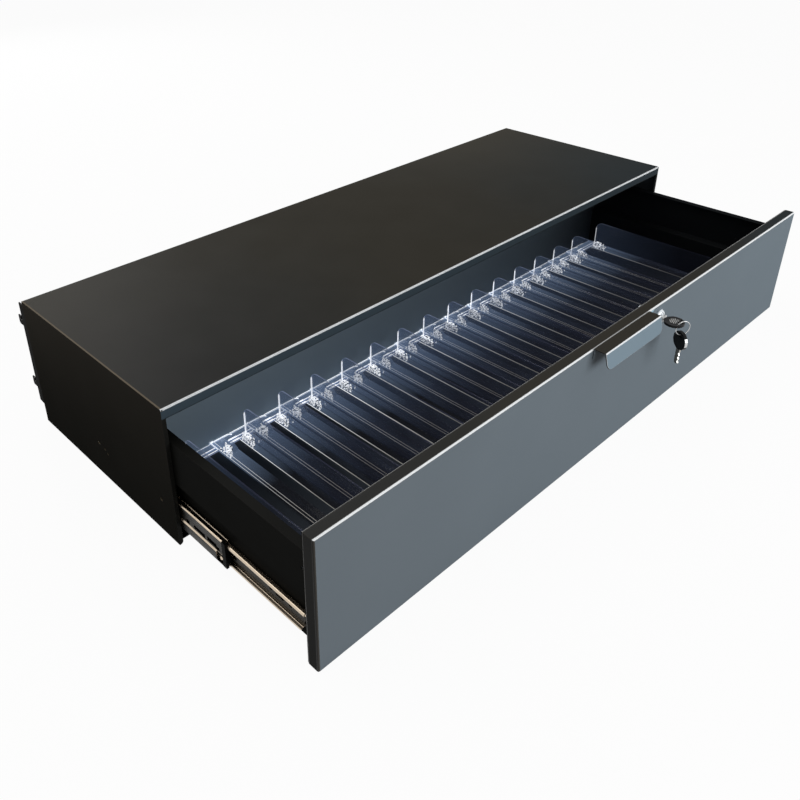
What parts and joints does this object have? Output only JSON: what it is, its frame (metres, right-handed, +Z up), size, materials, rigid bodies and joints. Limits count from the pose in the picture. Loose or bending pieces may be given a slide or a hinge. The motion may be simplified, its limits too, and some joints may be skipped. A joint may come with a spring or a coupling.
{
  "type": "under desk drawer safe",
  "caption": "Wide lockable steel drawer unit: folded housing with rear hooks, drawer on ball-bearing slides, clear lane tray, cam lock with keys.",
  "frame": {"origin": "centre of the housing's flat top face, where the unit lies against a desk or shelf above it", "axes": "+X to the right seen from the front, +Y to the rear, +Z up; the drawer opens along -Y"},
  "size_m": [1, 0.6184, 0.185],
  "materials": {
    "housing_paint": "dark warm grey powder coat, fine texture",
    "drawer_paint": "near-black powder coat, fine texture",
    "front_paint": "slate grey powder coat, fine texture",
    "handle_paint": "lighter grey powder coat, satin",
    "slide_steel": "zinc-plated rolled steel",
    "lock_chrome": "polished chrome plate",
    "key_steel": "bright nickel plate",
    "black_plastic": "black moulded plastic",
    "clear_plastic": "clear moulded plastic with bright edges"
  },
  "bodies": {
    "housing": {"housing_shell": "housing_paint", "housing_back": "housing_paint", "hook_bracket_left": "housing_paint", "hook_bracket_right": "housing_paint", "slide_cabinet_member_left": "slide_steel", "slide_cabinet_member_right": "slide_steel"},
    "slide_middle_left": {"slide_middle_member_left": "slide_steel", "slide_bumper_left": "black_plastic"},
    "slide_middle_right": {"slide_middle_member_right": "slide_steel", "slide_bumper_right": "black_plastic"},
    "drawer": {"panel_skin": "front_paint", "panel_liner": "drawer_paint", "handle": "handle_paint", "drawer_floor": "drawer_paint", "drawer_rear_wall": "drawer_paint", "drawer_side_left": "drawer_paint", "drawer_side_right": "drawer_paint", "slide_drawer_member_left": "slide_steel", "slide_drawer_member_right": "slide_steel", "lock_body": "lock_chrome", "lock_nut": "slide_steel", "tray_frame": "clear_plastic", "divider_01": "clear_plastic", "divider_02": "clear_plastic", "divider_03": "clear_plastic", "divider_04": "clear_plastic", "divider_05": "clear_plastic", "divider_06": "clear_plastic", "divider_07": "clear_plastic", "divider_08": "clear_plastic", "divider_09": "clear_plastic", "divider_10": "clear_plastic", "divider_11": "clear_plastic", "divider_12": "clear_plastic", "divider_13": "clear_plastic", "divider_14": "clear_plastic", "divider_15": "clear_plastic", "divider_16": "clear_plastic", "track_strip_01": "clear_plastic", "track_strip_02": "clear_plastic", "track_strip_03": "clear_plastic", "track_strip_04": "clear_plastic", "track_strip_05": "clear_plastic", "track_strip_06": "clear_plastic", "track_strip_07": "clear_plastic", "track_strip_08": "clear_plastic", "track_strip_09": "clear_plastic", "track_strip_10": "clear_plastic", "track_strip_11": "clear_plastic", "track_strip_12": "clear_plastic", "track_strip_13": "clear_plastic", "track_strip_14": "clear_plastic", "track_strip_15": "clear_plastic"},
    "lock_cylinder": {"lock_plug": "lock_chrome", "lock_cam": "slide_steel"},
    "key": {"key_head": "black_plastic", "key_blade": "key_steel"},
    "ring": {"key_ring": "key_steel"},
    "spare_key": {"spare_key_head": "black_plastic", "spare_key_blade": "key_steel"}
  },
  "joints": [
    {"name": "drawer_slide", "type": "slide", "parent": "housing", "child": "drawer", "axis": [0, -1, 0], "range_m": [-0.2135, 0.086]},
    {"name": "slide_middle_left_slide", "type": "slide", "parent": "housing", "child": "slide_middle_left", "axis": [0, -1, 0], "range_m": [-0.10675, 0.043]},
    {"name": "slide_middle_right_slide", "type": "slide", "parent": "housing", "child": "slide_middle_right", "axis": [0, -1, 0], "range_m": [-0.10675, 0.043]},
    {"name": "lock_turn", "type": "hinge", "parent": "drawer", "child": "lock_cylinder", "pos_m": [0.085, -0.3903, -0.0342], "axis": [0, -1, 0], "range_deg": [0, 90]},
    {"name": "key_withdraw", "type": "slide", "parent": "lock_cylinder", "child": "key", "axis": [0, -1, 0], "range_m": [0, 0.024]},
    {"name": "ring_swing", "type": "hinge", "parent": "key", "child": "ring", "pos_m": [0.09003, -0.4217, -0.0342], "axis": [0.866, -0.5, 0], "range_deg": [-20, 20]},
    {"name": "spare_key_swing", "type": "hinge", "parent": "ring", "child": "spare_key", "pos_m": [0.09003, -0.4217, -0.04984], "axis": [0.866, -0.5, 0], "range_deg": [-35, 35]}
  ],
  "couplings": [
    {"joint": "slide_middle_left_slide", "follows": "drawer_slide", "ratio": 0.5},
    {"joint": "slide_middle_right_slide", "follows": "drawer_slide", "ratio": 0.5}
  ]
}
